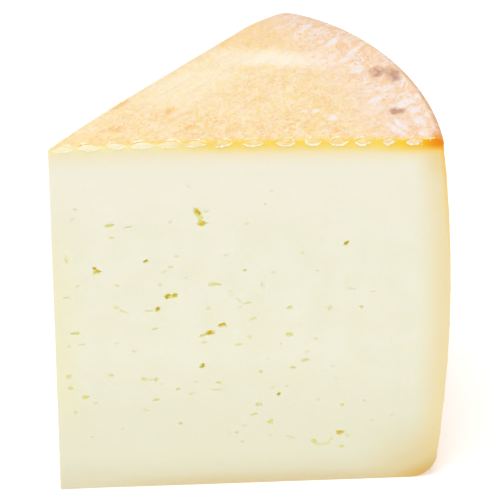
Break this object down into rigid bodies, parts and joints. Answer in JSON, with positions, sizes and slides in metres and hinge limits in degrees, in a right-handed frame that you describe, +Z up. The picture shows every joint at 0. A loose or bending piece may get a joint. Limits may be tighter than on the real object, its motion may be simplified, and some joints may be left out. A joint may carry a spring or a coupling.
{
  "type": "smoked sheep cheese wedge",
  "caption": "Tall wedge cut from a wheel of smoked sheep's milk cheese, with small irregular eyes in the pale paste and a ridged, bulging rind.",
  "frame": {"origin": "middle of the flat base, as the middle of the footprint's box", "axes": "+Z up along the wheel's height, front cut facing -Y, sharp tip at -X, curved rind wall at +X"},
  "size_m": [0.0972, 0.0722, 0.102],
  "materials": {
    "cheese": "pale ivory paste with a satin sheen, peach rind on the top and wall"
  },
  "bodies": {
    "root": {"cheese_wedge": "cheese"}
  },
  "joints": []
}
